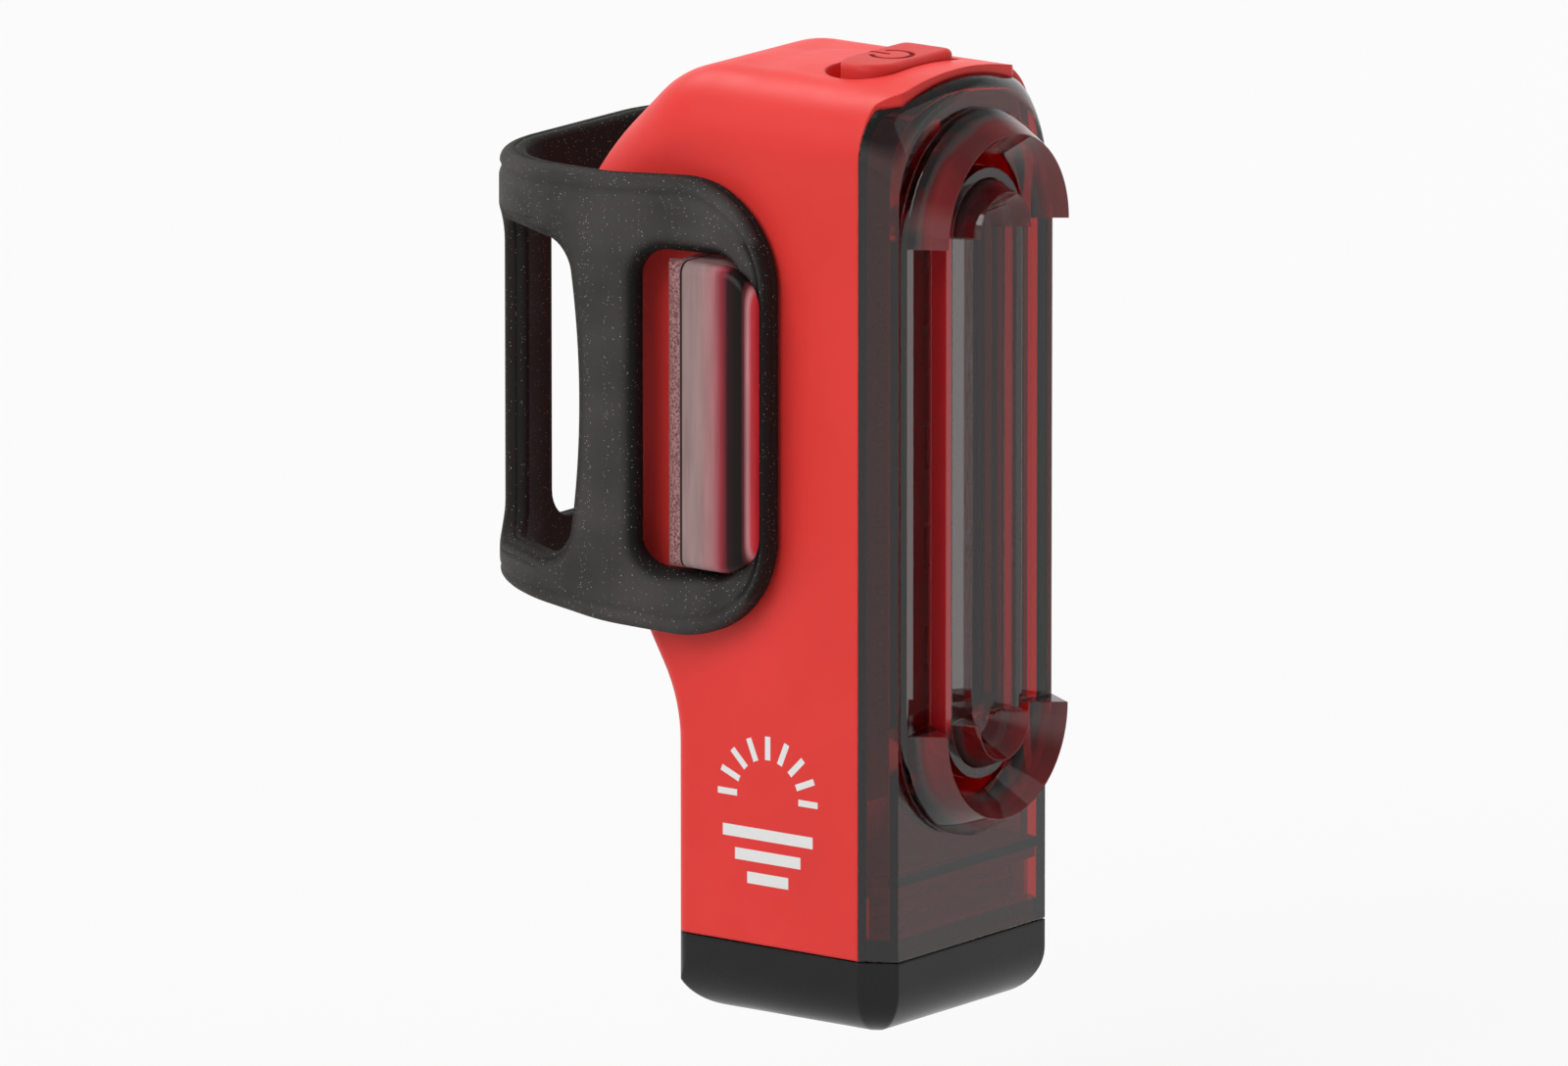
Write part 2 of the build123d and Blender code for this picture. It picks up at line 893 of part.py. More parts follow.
with BuildPart() as driver_chips:
    with BuildSketch(Plane.XZ.offset(-board_back_y - driver_height)):
        with Locations((0, led_mid_z)):
            with GridLocations(led_board_width / 2, led_pitch, 2, led_count - 1):
                Rectangle(driver_size, driver_size)
    extrude(amount=driver_height)
save(driver_chips, "driver_chips")

with BuildPart() as board_screws:
    for height, seat_y in zip(screw_heights, (board_front_y, board_front_y - reflector_wall)):
        extrude(
            disc(along_y(0, seat_y, height), board_screw_radius),
            amount=board_back_y + board_screw_grip - seat_y,
        )
        extrude(disc(along_y(0, seat_y, height), board_screw_head_radius), amount=-board_screw_head_height)
save(board_screws, "board_screws")

# Battery between the light board and the back wall
battery_front_y = board_back_y + board_gap
battery_rear_y = inner_rear_y - battery_pad_thickness
battery_low_z = seam_z + battery_low

with BuildPart() as battery_cell:
    block(
        -battery_width / 2,
        battery_width / 2,
        battery_front_y,
        battery_rear_y,
        battery_low_z,
        battery_low_z + battery_height,
    )
    fillet(battery_cell.edges().filter_by(Axis.Z), battery_corner_radius)
save(battery_cell, "battery_cell")

with BuildPart() as battery_pad:
    block(
        battery_corner_radius - battery_width / 2,
        battery_width / 2 - battery_corner_radius,
        battery_rear_y,
        inner_rear_y,
        battery_low_z,
        battery_low_z + battery_height,
    )
save(battery_pad, "battery_pad")

# Charging board, its chip, and the pins to the light board
charge_back_y = base_screw_y - base_boss_radius - charge_board_gap
charge_front_y = charge_back_y - board_thickness
charge_top_z = base_top_z + charge_board_height

with BuildPart() as charge_board:
    block(
        -charge_board_width / 2,
        charge_board_width / 2,
        charge_front_y,
        charge_back_y,
        base_top_z,
        charge_top_z,
    )
save(charge_board, "charge_board")

with BuildPart() as charge_chip:
    with Locations((0, charge_back_y + charge_chip_height / 2, (base_top_z + charge_top_z) / 2)):
        Box(charge_chip_size, charge_chip_height, charge_chip_size)
save(charge_chip, "charge_chip")

with BuildPart() as link_pins:
    with Locations(along_y(0, board_back_y, charge_top_z - link_pin_drop)):
        with GridLocations(link_pin_pitch, 0, link_pin_count, 1):
            Cylinder(
                link_pin_radius,
                charge_front_y - board_back_y,
                align=(Align.CENTER, Align.CENTER, Align.MIN),
            )
save(link_pins, "link_pins")

for name, side in (("battery_lead_red", -1), ("battery_lead_black", 1)):
    with BuildPart() as lead:
        extrude(
            disc(level(side * lead_offset, (charge_front_y + charge_back_y) / 2, charge_top_z), lead_radius),
            amount=battery_low_z - charge_top_z,
        )
    save(lead, name)

# Charging socket: steel shell, insert with its tongue, and contacts
socket_y = charge_front_y - socket_depth / 2


def socket_face(height, inset):
    half = socket_width / 2 - inset
    deep = socket_depth / 2 - inset
    return closed_face(
        level(0, socket_y, height),
        [
            (socket_taper - half, -deep),
            (half - socket_taper, -deep),
            (half, socket_taper - deep),
            (half, deep),
            (-half, deep),
            (-half, socket_taper - deep),
        ],
    )


with BuildPart() as usb_shell:
    extrude(socket_face(base_low_z, 0), amount=socket_length)
    extrude(socket_face(base_low_z, socket_wall), amount=socket_length, mode=Mode.SUBTRACT)
save(usb_shell, "usb_shell")

socket_back_z = base_low_z + socket_length - socket_back

with BuildPart() as usb_tongue:
    extrude(socket_face(socket_back_z, socket_wall), amount=socket_back)
    with Locations((0, socket_y, socket_back_z - insert_length / 2)):
        Box(insert_width, insert_thickness, insert_length)
save(usb_tongue, "usb_tongue")

with BuildPart() as usb_contacts:
    with Locations(
        (
            0,
            socket_y - insert_thickness / 2 - contact_thickness / 2,
            socket_back_z - insert_length / 2,
        )
    ):
        with GridLocations(contact_pitch, 0, contact_count, 1):
            Box(contact_width, contact_thickness, insert_length)
save(usb_contacts, "usb_contacts")

# Base plate across the body above the cap, sealed round its edge
plate_half = inner_half_width - base_clearance
plate_front_y = front_y + lens_wall + base_clearance
plate_rear_y = inner_rear_y - base_clearance
plate_front_half = min(lens_half_at(lens_wall) - lens_wall - base_clearance, plate_half)


def plate_face(height, inset):
    return closed_face(
        Plane.XY.offset(height),
        [
            (inset - plate_front_half, plate_front_y + inset),
            (plate_front_half - inset, plate_front_y + inset),
            (plate_half - inset, seam_y + base_clearance),
            (plate_half - inset, plate_rear_y - inset),
            (inset - plate_half, plate_rear_y - inset),
            (inset - plate_half, seam_y + base_clearance),
        ],
    )


seal_low_z = base_low_z + base_plate_thickness / 2

with BuildPart() as base_plate:
    extrude(plate_face(base_low_z, 0), amount=base_plate_thickness / 2)
    extrude(plate_face(seal_low_z, base_seal_width), amount=base_plate_thickness / 2)
    extrude(socket_face(base_low_z, -base_clearance), amount=base_plate_thickness, mode=Mode.SUBTRACT)
    for side in (-1, 1):
        extrude(
            disc(level(side * base_screw_x, base_screw_y, base_low_z), base_screw_radius),
            amount=base_plate_thickness,
            mode=Mode.SUBTRACT,
        )
        extrude(
            disc(level(side * base_screw_x, base_screw_y, base_low_z), base_screw_head_radius),
            amount=base_screw_head_height,
            mode=Mode.SUBTRACT,
        )
save(base_plate, "base_plate")

with BuildPart() as base_seal:
    extrude(plate_face(seal_low_z, -base_clearance), amount=base_plate_thickness / 2)
    extrude(plate_face(seal_low_z, base_seal_width), amount=base_plate_thickness / 2, mode=Mode.SUBTRACT)
    for side in (-1, 1):
        extrude(
            disc(level(side * base_screw_x, base_screw_y, seal_low_z), base_screw_radius),
            amount=base_plate_thickness / 2,
            mode=Mode.SUBTRACT,
        )
save(base_seal, "base_seal")

with BuildPart() as base_screws:
    for side in (-1, 1):
        extrude(
            disc(level(side * base_screw_x, base_screw_y, base_low_z), base_screw_head_radius),
            amount=base_screw_head_height,
        )
        extrude(
            disc(level(side * base_screw_x, base_screw_y, base_low_z), base_screw_radius),
            amount=base_plate_thickness + base_screw_grip,
        )
save(base_screws, "base_screws")

# End cap: rounded shell with a collar that pushes up into the body
cap_top_z = seam_z - cap_gap
collar_half = inner_half_width - collar_clearance
collar_front_y = seam_y + collar_clearance
collar_rear_y = inner_rear_y - collar_clearance
collar_top_z = seam_z + collar_height
cap_seal_top_z = collar_top_z - cap_seal_drop


def collar_face(height, inset):
    with BuildSketch(level(0, (collar_front_y + collar_rear_y) / 2, height)) as face:
        RectangleRounded(
            2 * (collar_half - inset),
            collar_rear_y - collar_front_y - 2 * inset,
            collar_corner_radius - inset,
        )
    return face.sketch


cap_outline = [
    (-lens_flat_width / 2, front_y),
    (lens_flat_width / 2, front_y),
    (half_width, seam_y),
    (half_width, rear_y),
    (-half_width, rear_y),
    (-half_width, seam_y),
]


def edge_waste(start, stop):
    """What lies outside the rounding of one bottom edge of the cap, in a plane square to that edge."""
    along_x, along_y_part = stop[0] - start[0], stop[1] - start[1]
    plane = Plane(origin=(*start, 0), x_dir=(-along_y_part, along_x, 0), z_dir=(along_x, along_y_part, 0))
    with BuildSketch(plane) as face:
        with BuildLine():
            Polyline((cap_edge_radius, 0), (0, 0), (0, cap_edge_radius))
            RadiusArc((0, cap_edge_radius), (cap_edge_radius, 0), -cap_edge_radius)
        make_face()
    return face.sketch


with BuildPart() as end_cap:
    with BuildSketch():
        with BuildLine():
            Polyline(*cap_outline, close=True)
        make_face()
    extrude(amount=cap_top_z)
    fillet(end_cap.edges().filter_by(Axis.Z).group_by(Axis.Y)[-1], rear_edge_radius)
    for start, stop in zip(cap_outline, cap_outline[1:] + cap_outline[:1]):
        extrude(edge_waste(start, stop), amount=body_width, both=True, mode=Mode.SUBTRACT)
    extrude(collar_face(cap_top_z, 0), amount=collar_top_z - cap_top_z)
    extrude(collar_face(cap_wall, collar_wall), amount=body_height, mode=Mode.SUBTRACT)
    extrude(collar_face(cap_seal_top_z, -overrun), amount=-cap_seal_height, mode=Mode.SUBTRACT)
    extrude(collar_face(cap_seal_top_z, cap_seal_depth), amount=-cap_seal_height)
    extrude(
        collar_face(cap_seal_top_z, collar_wall),
        amount=-cap_seal_height,
        mode=Mode.SUBTRACT,
    )
save(end_cap, "end_cap")

with BuildPart() as cap_seal:
    extrude(collar_face(cap_seal_top_z, cap_seal_clearance - collar_clearance), amount=-cap_seal_height)
    extrude(collar_face(cap_seal_top_z, cap_seal_depth), amount=-cap_seal_height, mode=Mode.SUBTRACT)
save(cap_seal, "cap_seal")
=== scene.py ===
import bisect
import math

import bmesh
import bpy
from mathutils import Matrix, Vector, geometry, kdtree


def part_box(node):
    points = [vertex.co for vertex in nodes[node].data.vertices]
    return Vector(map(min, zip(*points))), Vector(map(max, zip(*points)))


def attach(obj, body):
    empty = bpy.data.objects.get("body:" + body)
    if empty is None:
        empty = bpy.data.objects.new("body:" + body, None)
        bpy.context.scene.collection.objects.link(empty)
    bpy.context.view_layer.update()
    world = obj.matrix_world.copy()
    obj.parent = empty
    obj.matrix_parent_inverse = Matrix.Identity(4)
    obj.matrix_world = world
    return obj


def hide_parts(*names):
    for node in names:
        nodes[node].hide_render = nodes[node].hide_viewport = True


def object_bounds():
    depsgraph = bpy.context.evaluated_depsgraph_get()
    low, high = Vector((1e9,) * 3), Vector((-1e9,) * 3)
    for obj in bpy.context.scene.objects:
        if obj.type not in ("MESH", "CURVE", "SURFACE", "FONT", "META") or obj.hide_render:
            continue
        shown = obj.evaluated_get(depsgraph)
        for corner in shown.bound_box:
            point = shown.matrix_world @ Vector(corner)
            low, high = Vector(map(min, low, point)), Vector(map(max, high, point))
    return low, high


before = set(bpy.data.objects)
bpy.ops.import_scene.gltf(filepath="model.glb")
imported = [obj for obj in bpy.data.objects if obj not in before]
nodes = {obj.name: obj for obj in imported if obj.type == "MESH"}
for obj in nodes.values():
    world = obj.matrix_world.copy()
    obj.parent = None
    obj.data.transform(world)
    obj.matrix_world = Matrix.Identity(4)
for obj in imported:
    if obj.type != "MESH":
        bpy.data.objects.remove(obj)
cad_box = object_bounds()
mm = 0.001

# Camera, by the photograph's viewing angle
view_azimuth = math.radians(-53.1)
view_elevation = math.radians(12.4)
camera_distance = 2.0
view_width = 123.7 * mm
camera_target = Vector((-3.371, 5.582, 37.702)) * mm
sensor_width = 36.0

# Places that the pieces share, from the CAD nodes
housing_low, housing_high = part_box("rear_housing")
hook_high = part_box("hook_left")[1]
strap_low, strap_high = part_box("mounting_strap")
button_low, button_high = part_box("power_button")
cap_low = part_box("end_cap")[0]
front_y = cap_low.y
half_width = housing_high.x

# Printed marks on the sides: a fan of rays over bars.
# Each bar has its drop below the fan's centre and half its length.
marks_y = front_y + 11.6 * mm
marks_z = housing_low.z + 12.0 * mm
marks_rays = 8
ray_half_width = 0.24 * mm
ray_start = 3.0 * mm
ray_end = 4.9 * mm
fan_foot = -0.4 * mm
bars = ((3.1 * mm, 4.4 * mm), (4.9 * mm, 3.2 * mm), (6.7 * mm, 2.0 * mm))
bar_half_height = 0.45 * mm
paint_edge = 0.04 * mm
side_depth = 0.06 * mm

# Symbol sunk into the button
symbol_reach = 2.3 * mm
symbol_depth = 0.1 * mm

# Painted red glow and reflections in the lens: on the flanks of the stepped centre, from x to x with their
# share, the -x flank stronger where the light falls, and on the raised rings
painted_glow_flanks = ((-5.5 * mm, -4.25 * mm, 0.55), (3.0 * mm, 3.9 * mm, 0.34))
glow_edge = 0.15 * mm
glow_low = housing_low.z + 17.0 * mm
glow_high = housing_low.z + 58.5 * mm
glow_fade = 1.5 * mm
painted_ring_glow = 0.2
ring_glow_from = front_y - 1.2 * mm
ring_glow_full = front_y - 2.2 * mm

# Hook: colours by the share of the way from its front to its rear, which is grained. The bands over its face
# are painted light: a red glint at the front rim, a pale pink highlight, dark painted reflections and a lit
# pale face; the thin dark line and the grained rear are its own.
hook_front = front_y + 10.3 * mm
hook_rear = front_y + 18.8 * mm
hook_grain_from = 0.82
hook_colours_and_painted_light = (
    (0.0, (0.6, 0.03, 0.04)), (0.025, (0.6, 0.05, 0.07)), (0.05, (0.6, 0.26, 0.28)),
    (0.085, (0.12, 0.02, 0.024)), (0.12, (0.006, 0.004, 0.003)), (0.19, (0.008, 0.005, 0.004)),
    (0.27, (0.03, 0.006, 0.008)), (0.35, (0.3, 0.035, 0.05)), (0.44, (0.42, 0.17, 0.18)),
    (0.6, (0.36, 0.24, 0.23)), (0.79, (0.33, 0.23, 0.22)), (0.8, (0.02, 0.006, 0.006)),
    (0.815, (0.02, 0.006, 0.006)), (0.825, (0.3, 0.16, 0.16)), (1.0, (0.27, 0.12, 0.12)),
)

# Strap: the band's sizes repeat those of its CAD solid
strap_thickness = 2.2 * mm
strap_mid_x = 12.75 * mm
strap_front = 10.2 * mm
strap_bend_at = 17.0 * mm
strap_bulge_x = 15.45 * mm
strap_bulge_at = 24.7 * mm
strap_back = 38.65 * mm
strap_back_half = 14.4 * mm
strap_radii = (8.0 * mm, 8.0 * mm, 9.4 * mm)
strap_back_rise = 2.6 * mm
strap_back_drop = 0.3 * mm
strap_end_radius = 8.5 * mm
strap_bar = 2.4 * mm
slot_low = strap_low.z + 5.3 * mm
slot_high = strap_high.z - 5.9 * mm
slot_radius = 2.4 * mm
side_slot_rear = 21.8 * mm
side_web_rear = 27.8 * mm
back_web_outer = 10.1 * mm
back_web_inner = 5.0 * mm
strap_outer_round = 0.9 * mm
slot_round_width = 1.5 * mm
slot_round_depth = 1.1 * mm
rail_groove_at = 1.35 * mm
rail_groove_depth = 0.22 * mm
strap_inner_round = 0.45 * mm
strap_grid = 0.6 * mm
strap_path_step = 0.1 * mm
same_place = 0.01 * mm
mould_line_width = 0.2 * mm
mould_line_depth = 0.13 * mm
mould_line_at = -0.15 * mm
web_waist = 1.3 * mm
web_waist_offset = 0.35 * mm


# Shader helpers
def shader_node(tree, kind, **values):
    """A node with its inputs and settings given by name."""
    node = tree.nodes.new(kind)
    for name, value in values.items():
        label = name.replace("_", " ")
        if label in node.inputs:
            node.inputs[label].default_value = value
        else:
            setattr(node, name, value)
    return node


def link(tree, source, target):
    tree.links.new(source, target)


def new_material(name, **values):
    """A material with one Principled shader, its constants given by name."""
    material = bpy.data.materials.new(name)
    material.use_nodes = True
    tree = material.node_tree
    shader = tree.nodes["Principled BSDF"]
    for label, value in values.items():
        shader.inputs[label.replace("_", " ")].default_value = value
    return material, tree, shader


def object_place(tree):
    return shader_node(tree, "ShaderNodeTexCoord").outputs["Object"]


def noise_at(tree, place, scale, detail=2.0, roughness=0.5):
    node = shader_node(tree, "ShaderNodeTexNoise", Scale=scale, Detail=detail, Roughness=roughness)
    link(tree, place, node.inputs["Vector"])
    return node.outputs["Fac"]


def stretched(tree, place, scale):
    node = shader_node(tree, "ShaderNodeMapping")
    node.inputs["Scale"].default_value = scale
    link(tree, place, node.inputs["Vector"])
    return node.outputs["Vector"]


def ranged(tree, value, low, high, to_low=0.0, to_high=1.0):
    """Value moved from one range to another, held at the ends."""
    node = shader_node(tree, "ShaderNodeMapRange")
    for label, number in (("From Min", low), ("From Max", high), ("To Min", to_low), ("To Max", to_high)):
        node.inputs[label].default_value = number
    link(tree, value, node.inputs["Value"])
    return node.outputs["Result"]


def maths(tree, operation, first, second=None):
    node = shader_node(tree, "ShaderNodeMath", operation=operation)
    for place, value in enumerate((first, second)):
        if isinstance(value, (int, float)):
            node.inputs[place].default_value = value
        elif value is not None:
            link(tree, value, node.inputs[place])
    return node.outputs["Value"]


def mixed(tree, factor, first, second, blend="MIX"):
    """Two colours mixed by a factor; each is a socket or a colour."""
    node = shader_node(tree, "ShaderNodeMix", data_type="RGBA", blend_type=blend)
    sockets = (node.inputs[0], node.inputs[6], node.inputs[7])
    for socket, value in zip(sockets, (factor, first, second)):
        if isinstance(value, bpy.types.NodeSocket):
            link(tree, value, socket)
        elif isinstance(value, tuple):
            socket.default_value = (*value, 1.0)
        else:
            socket.default_value = value
    return node.outputs[2]


def bumped(tree, shader, height, strength, distance, edge=None):
    """Bump on the shader, on top of edges that look rounded by a radius if one is given."""
    node = shader_node(tree, "ShaderNodeBump", Strength=strength, Distance=distance)
    link(tree, height, node.inputs["Height"])
    if edge is not None:
        rounding = shader_node(tree, "ShaderNodeBevel", samples=6)
        rounding.inputs["Radius"].default_value = edge
        link(tree, rounding.outputs["Normal"], node.inputs["Normal"])
    link(tree, node.outputs["Normal"], shader.inputs["Normal"])


def axes_of(tree, place):
    node = shader_node(tree, "ShaderNodeSeparateXYZ")
    link(tree, place, node.inputs["Vector"])
    return node.outputs["X"], node.outputs["Y"], node.outputs["Z"]


def dress(material, *names):
    """Gives CAD nodes a material in their own slots."""
    for name in names:
        slots = nodes[name].data.materials
        if len(slots):
            slots[0] = material
        else:
            slots.append(material)


# Materials
def moulded_plastic(name, colour, shade, roughness, edge=None, painted=None, paint=None):
    """Plastic with a fine spark-eroded grain, soft tone changes, and a second colour where painted."""
    material, tree, shader = new_material(name, IOR=1.5, Specular_IOR_Level=0.25)
    place = object_place(tree)
    tone = noise_at(tree, place, 90.0, 3.0)
    base = mixed(tree, ranged(tree, tone, 0.3, 0.7), colour, shade)
    if painted:
        base = mixed(tree, painted(tree, place), base, paint)
    link(tree, base, shader.inputs["Base Color"])
    rub = noise_at(tree, place, 260.0, 4.0)
    link(tree, ranged(tree, rub, 0.25, 0.75, roughness - 0.05, roughness + 0.06), shader.inputs["Roughness"])
    bumped(tree, shader, noise_at(tree, place, 5200.0, 2.0), 0.5, 0.012 * mm, edge)
    return material


def distance(tree, across, along):
    """Length of a step with these two parts."""
    squares = [maths(tree, "POWER", part, 2.0) for part in (across, along)]
    return maths(tree, "SQRT", maths(tree, "ADD", *squares))


def below(tree, value, limit):
    """One up to a limit, and zero past the edge of the paint."""
    return ranged(tree, value, limit, limit + paint_edge, 1.0, 0.0)


def in_symbol(tree, place):
    """One on the walls and floor of the symbol that is sunk into the button."""
    centre = (button_low + button_high) / 2
    x, y, z = axes_of(tree, place)
    reach = distance(tree, maths(tree, "SUBTRACT", x, centre.x), maths(tree, "SUBTRACT", y, centre.y))
    deep = below(tree, z, button_high.z - symbol_depth)
    return maths(tree, "MULTIPLY", deep, below(tree, reach, symbol_reach))


def side_marks(tree, place):
    """One on a printed fan of rays over three bars, on both flat sides."""
    x, y, z = axes_of(tree, place)
    along = maths(tree, "SUBTRACT", y, marks_y)
    above = maths(tree, "SUBTRACT", z, marks_z)
    reach = distance(tree, along, above)
    turns = maths(tree, "MULTIPLY", maths(tree, "ARCTAN2", above, along), marks_rays / math.pi)
    share = maths(tree, "FRACT", maths(tree, "ADD", turns, 0.5))
    off = maths(tree, "ABSOLUTE", maths(tree, "SUBTRACT", share, 0.5))
    aside = maths(tree, "MULTIPLY", maths(tree, "MULTIPLY", off, reach), math.pi / marks_rays)
    shown = below(tree, aside, ray_half_width)
    for limit in (below(tree, reach, ray_end),
                  ranged(tree, reach, ray_start, ray_start + paint_edge),
                  ranged(tree, above, fan_foot, fan_foot + paint_edge)):
        shown = maths(tree, "MULTIPLY", shown, limit)
    for drop, half_length in bars:
        tall = below(tree, maths(tree, "ABSOLUTE", maths(tree, "ADD", above, drop)), bar_half_height)
        wide = below(tree, maths(tree, "ABSOLUTE", along), half_length)
        shown = maths(tree, "MAXIMUM", shown, maths(tree, "MULTIPLY", tall, wide))
    flat = ranged(tree, maths(tree, "ABSOLUTE", x), half_width - side_depth, half_width - side_depth / 2)
    return maths(tree, "MULTIPLY", shown, flat)


def painted_lens_glow(tree, place):
    """Share of painted red glow, standing in for light reflected inside the lens, on the raised rings and the
    flanks of the stepped centre.
    """
    x, y, z = axes_of(tree, place)
    flanks = []
    for start, stop, share in painted_glow_flanks:
        rise = ranged(tree, x, start, start + glow_edge, 0.0, share)
        flanks.append(maths(tree, "MULTIPLY", rise, ranged(tree, x, stop - glow_edge, stop, 1.0, 0.0)))
    flank = maths(tree, "MAXIMUM", *flanks)
    for limit in (ranged(tree, z, glow_low, glow_low + glow_fade),
                  ranged(tree, z, glow_high - glow_fade, glow_high, 1.0, 0.0),
                  ranged(tree, y, front_y + 0.1 * mm, front_y + 0.5 * mm, 1.0, 0.0)):
        flank = maths(tree, "MULTIPLY", flank, limit)
    streak = noise_at(tree, stretched(tree, place, (1.0, 1.0, 0.25)), 160.0, 2.0)
    ring = maths(tree, "MULTIPLY", ranged(tree, y, ring_glow_full, ring_glow_from, painted_ring_glow, 0.0),
                 ranged(tree, streak, 0.35, 0.65, 0.4, 1.0))
    return maths(tree, "MAXIMUM", flank, ring)


def smoked_glass(name, colour, absorption, density, roughness):
    """Clear plastic tinted all through, turned opaque red where the glow is painted."""
    material, tree, shader = new_material(name, Roughness=roughness, IOR=1.55)
    place = object_place(tree)
    glow = painted_lens_glow(tree, place)
    base = mixed(tree, ranged(tree, glow, 0.0, 0.1), colour, (0.85, 0.03, 0.04))
    link(tree, base, shader.inputs["Base Color"])
    link(tree, maths(tree, "SUBTRACT", 1.0, glow), shader.inputs["Transmission Weight"])
    ripple = noise_at(tree, place, 420.0, 1.0)
    bumped(tree, shader, ripple, 0.25, 0.004 * mm, 0.12 * mm)
    volume = shader_node(tree, "ShaderNodeVolumeAbsorption", Density=density)
    volume.inputs["Color"].default_value = (*absorption, 1.0)
    link(tree, volume.outputs["Volume"], tree.nodes["Material Output"].inputs["Volume"])
    return material


def hook_plastic_painted_light(name):
    """Smoked red plastic: grained at the rear, then a line, then a face that darkens to a red front, its bands
    painted highlights, painted reflections and a painted red glint.
    """
    material, tree, shader = new_material(name, IOR=1.5, Specular_IOR_Level=0.12)
    place = object_place(tree)
    _, y, _ = axes_of(tree, place)
    back = ranged(tree, y, hook_front, hook_rear)
    # The ramp's bands are painted light over the smoked red: highlight, dark reflections and the front glint.
    ramp = shader_node(tree, "ShaderNodeValToRGB")
    elements = ramp.color_ramp.elements
    while len(elements) < len(hook_colours_and_painted_light):
        elements.new(1.0)
    for element, (share, colour) in zip(elements, hook_colours_and_painted_light):
        element.position = share
        element.color = (*colour, 1.0)
    link(tree, back, ramp.inputs["Fac"])
    grained = ranged(tree, back, hook_grain_from, hook_grain_from + 0.005)
    grain = noise_at(tree, place, 5200.0, 3.0)
    streak = noise_at(tree, stretched(tree, place, (1.0, 1.0, 0.12)), 1400.0, 3.0)
    soft = mixed(tree, ranged(tree, streak, 0.3, 0.7), (0.86, 0.86, 0.86), (1.1, 1.1, 1.1))
    coarse = mixed(tree, ranged(tree, grain, 0.35, 0.65), (0.45, 0.35, 0.36), (1.5, 1.5, 1.5))
    tone = mixed(tree, grained, soft, coarse)
    link(tree, mixed(tree, 1.0, ramp.outputs["Color"], tone, "MULTIPLY"), shader.inputs["Base Color"])
    link(tree, ranged(tree, grained, 0.0, 1.0, 0.22, 0.6), shader.inputs["Roughness"])
    height = maths(tree, "MULTIPLY", grain, ranged(tree, grained, 0.0, 1.0, 0.1, 1.0))
    bumped(tree, shader, height, 0.8, 0.05 * mm, 0.35 * mm)
    return material


def rubber(name, colour, dust, bare_and_painted_shade=None):
    """Matte black rubber with fine dust specks and a soft bloom. Where its face has no bloom it is bare, and
    that bare colour is painted shade as well as clean rubber.
    """
    material, tree, shader = new_material(name, IOR=1.5, Specular_IOR_Level=0.1)
    place = object_place(tree)
    bloom = noise_at(tree, place, 140.0, 4.0)
    dark, light = tuple(0.6 * c for c in colour), tuple(1.15 * c for c in colour)
    base = mixed(tree, ranged(tree, bloom, 0.3, 0.7), dark, light)
    if bare_and_painted_shade:
        face = shader_node(tree, "ShaderNodeAttribute", attribute_name="bloom").outputs["Fac"]
        base = mixed(tree, face, bare_and_painted_shade, base)
    for scale, size, least in ((3400.0, 0.16, 0.75), (5600.0, 0.22, 0.7)):
        cells = shader_node(tree, "ShaderNodeTexVoronoi", Scale=scale)
        link(tree, place, cells.inputs["Vector"])
        near = ranged(tree, cells.outputs["Distance"], 0.5 * size, size, 1.0, 0.0)
        chosen = shader_node(tree, "ShaderNodeSeparateColor")
        link(tree, cells.outputs["Color"], chosen.inputs["Color"])
        some = ranged(tree, chosen.outputs["Red"], least, 1.0)
        speck = maths(tree, "MULTIPLY", maths(tree, "MULTIPLY", near, some), dust)
        base = mixed(tree, speck, base, (0.75, 0.73, 0.7))
    link(tree, base, shader.inputs["Base Color"])
    link(tree, ranged(tree, bloom, 0.2, 0.8, 0.55, 0.72), shader.inputs["Roughness"])
    bumped(tree, shader, noise_at(tree, place, 3800.0, 3.0), 0.6, 0.02 * mm)
    return material


def metal(name, colour, roughness, brush):
    """Metal with fine drawn lines along one axis."""
    material, tree, shader = new_material(name, Metallic=1.0, IOR=2.0)
    place = object_place(tree)
    lines = noise_at(tree, stretched(tree, place, brush), 900.0, 3.0)
    link(tree, mixed(tree, ranged(tree, lines, 0.3, 0.7), colour, tuple(0.8 * c for c in colour)),
         shader.inputs["Base Color"])
    link(tree, ranged(tree, lines, 0.3, 0.7, roughness, roughness + 0.15), shader.inputs["Roughness"])
    bumped(tree, shader, lines, 0.3, 0.01 * mm)
    return material


# Camera
def make_camera():
    azimuth, elevation = view_azimuth, view_elevation
    right = Vector((math.cos(azimuth), math.sin(azimuth), 0))
    back = Vector((
        math.sin(azimuth) * math.cos(elevation), -math.cos(azimuth) * math.cos(elevation), math.sin(elevation)
    ))
    up = back.cross(right)
    data = bpy.data.cameras.new("camera")
    data.sensor_width = sensor_width
    data.lens = sensor_width * camera_distance / view_width
    data.clip_start = camera_distance / 20
    data.clip_end = camera_distance * 10
    camera = bpy.data.objects.new("camera", data)
    turn = Matrix((right, up, back)).transposed()
    camera.matrix_world = Matrix.Translation(camera_target + back * camera_distance) @ turn.to_4x4()
    bpy.context.scene.collection.objects.link(camera)
    bpy.context.scene.camera = camera


# Stage and light: the floor lies below the cap's travel
floor_half = 6.0
floor_z = cap_low.z - 12.1 * mm
dome_level = 0.32
glass_level = 0.3
lamp_distance = 0.9


def seen_ray(tree):
    """One for rays from the camera or a reflection, less for those through glass, zero for all others."""
    path = shader_node(tree, "ShaderNodeLightPath")
    first = maths(tree, "MAXIMUM", path.outputs["Is Camera Ray"], path.outputs["Is Glossy Ray"])
    through = maths(tree, "MULTIPLY", path.outputs["Is Transmission Ray"], glass_level)
    return maths(tree, "MAXIMUM", first, through)


